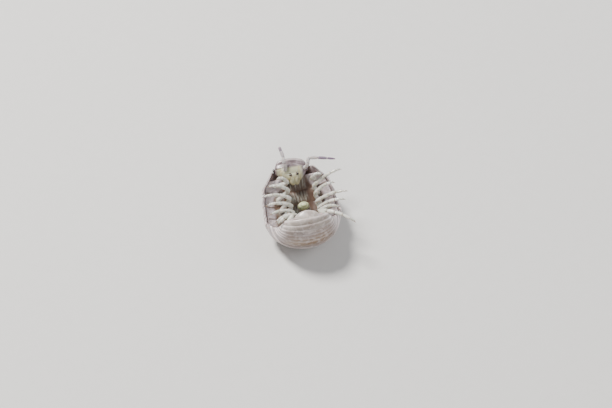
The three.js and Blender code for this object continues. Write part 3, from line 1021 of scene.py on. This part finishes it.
def limb_piece(name, points, radii, material, node, hairs, hair_length, dusk, claw=False, flat=0.86):
    """A limb of articles from joint to joint, with hairs and, if asked for, a claw.

    Each article is as dark as its dusk says, fading to nothing at its joints.
    """
    parts, joints, dark = [], [], []

    def keep(piece, joint, shade):
        parts.append(piece)
        joints.append(joint)
        dark.append(shade * (1 - joint))

    for i, (a, b) in enumerate(zip(points, points[1:])):
        piece, joint = article_part(a, b, radii[i], radii[i + 1], flat=flat)
        keep(piece, np.ravel(joint), dusk[i])
        for hair in bristles(a, b, radii[i], radii[i + 1], hairs, hair_length):
            keep(hair, np.zeros(len(hair[0])), HAIR_DUSK)
    if claw:
        piece = claw_part(points[-2], points[-1], radii[-1] * 1.1, np.array([0, 0, -1.0]))
        keep(piece, np.zeros(len(piece[0])), CLAW_DUSK)
    shape, faces = join_parts(parts)
    marks = {"joint": np.concatenate(joints), "dusk": np.concatenate(dark)}
    return finish_piece(make_mesh(name, shape, faces, marks), material, [node])


def leg(side, word, index):
    """One leg: six articles and a claw."""
    points = leg_points(side, index)
    name = f"leg_{word}_{index + 1}"
    return limb_piece(
        f"{name}_articles", points, LEG_RADII * LEG_SLIMMING, LEG, name,
        hairs=9, hair_length=0.16, dusk=[0] * (len(points) - 1), claw=True,
    )


def antenna(word, places, dusk):
    """One antenna: round articles through its places, with finer hairs."""
    points = [in_body(*place) for place in places]
    radii = ANTENNA_RADII[: len(points)] * ANTENNA_SLIMMING
    return limb_piece(
        f"antenna_{word}_articles", points, radii, FEELER, f"antenna_{word}",
        hairs=12, hair_length=0.1, dusk=dusk, flat=1.0,
    )


# Camera, light and floor

AZIMUTH = math.radians(-13)
ELEVATION = math.radians(58)
LENS = 100.0
SENSOR = 36.0
FRAME_WIDTH = 612
PIXELS_PER_MM = 9.6
DISTANCE = LENS / SENSOR * FRAME_WIDTH / PIXELS_PER_MM * MM
AIM = (0.0, 0.0, 2.4)  # what the frame's middle looks at, in millimetres
AIM_PIXELS = (-3.3, -0.2)  # how far right and down of the frame's middle the aim lies in the photograph


def camera():
    """The photograph's view: AIM lands AIM_PIXELS from the middle of the frame."""
    back = Vector((
        math.sin(AZIMUTH) * math.cos(ELEVATION),
        -math.cos(AZIMUTH) * math.cos(ELEVATION),
        math.sin(ELEVATION),
    ))
    turn = (-back).to_track_quat("-Z", "Y")
    right = turn @ Vector((1, 0, 0))
    up = turn @ Vector((0, 1, 0))
    aim = Vector(AIM) * MM
    aim -= right * AIM_PIXELS[0] / PIXELS_PER_MM * MM
    aim += up * AIM_PIXELS[1] / PIXELS_PER_MM * MM
    data = bpy.data.cameras.new("camera")
    data.lens = LENS
    data.sensor_width = SENSOR
    data.clip_start = 0.005
    data.clip_end = 20
    thing = show("camera", data)
    thing.location = aim + back * DISTANCE
    thing.rotation_mode = "QUATERNION"
    thing.rotation_quaternion = turn
    bpy.context.scene.camera = thing


def light(name, place, size, power, tint):
    """A round lamp that faces the floor's middle."""
    data = bpy.data.lights.new(name, "AREA")
    data.shape = "DISK"
    data.size = size
    data.energy = power
    data.color = tint
    thing = show(name, data)
    thing.location = place
    thing.rotation_mode = "QUATERNION"
    thing.rotation_quaternion = (-Vector(place)).to_track_quat("-Z", "Y")


SKY = (0.86, 0.88, 0.92, 1)
SKY_STRENGTH = 0.28
FLOOR_HALF = 0.6


def studio():
    """Three soft lamps, an even sky, and a pale floor card."""
    light("key", (-0.12, 0.2, 0.3), 0.1, 3.0, (1.0, 0.98, 0.95))
    light("fill", (0.28, -0.04, 0.24), 0.26, 0.6, (0.94, 0.96, 1.0))
    light("front", (-0.1, -0.34, 0.2), 0.2, 0.5, (1.0, 0.96, 0.92))
    world = bpy.data.worlds.new("world")
    bpy.context.scene.world = world
    world.use_nodes = True
    sky = world.node_tree.nodes["Background"]
    sky.inputs["Color"].default_value = SKY
    sky.inputs["Strength"].default_value = SKY_STRENGTH
    mesh = bpy.data.meshes.new("floor")
    corners = [(x * FLOOR_HALF, y * FLOOR_HALF, 0) for x, y in ((-1, -1), (1, -1), (1, 1), (-1, 1))]
    mesh.from_pydata(corners, [], [(0, 1, 2, 3)])
    floor = show("floor", mesh)
    net = Net("floor_card")
    grain = net.noise(900, 3.0, 0.6)
    base = net.mix(grain, colour(0.66, 0.65, 0.63), colour(0.70, 0.69, 0.67))
    mesh.materials.append(net.finish(base, 0.7, net.bump(grain, 0.05, FINE_PRESS)))


PLATE_NAMES = [f"segment_{index + 1}" for index in range(len(SEGMENT_LENGTHS))]
PLATE_NAMES += [f"tail_segment_{index + 1}" for index in range(len(TAIL_LENGTHS))]

camera()
studio()
for index, name in enumerate(PLATE_NAMES):
    plate(index, name)
telson_plate()
belly_skin()
gill_leaves()
belly_swelling()
head()
mouth_lobes()
antenna("left", LEFT_ANTENNA, LEFT_DUSK)
antenna("right", RIGHT_ANTENNA, RIGHT_DUSK)
for side, word in SIDES:
    eye(side, word)
    mandible(side, word)
    uropod_lobe(side, word)
    for index in range(len(SEGMENT_LENGTHS)):
        leg(side, word, index)
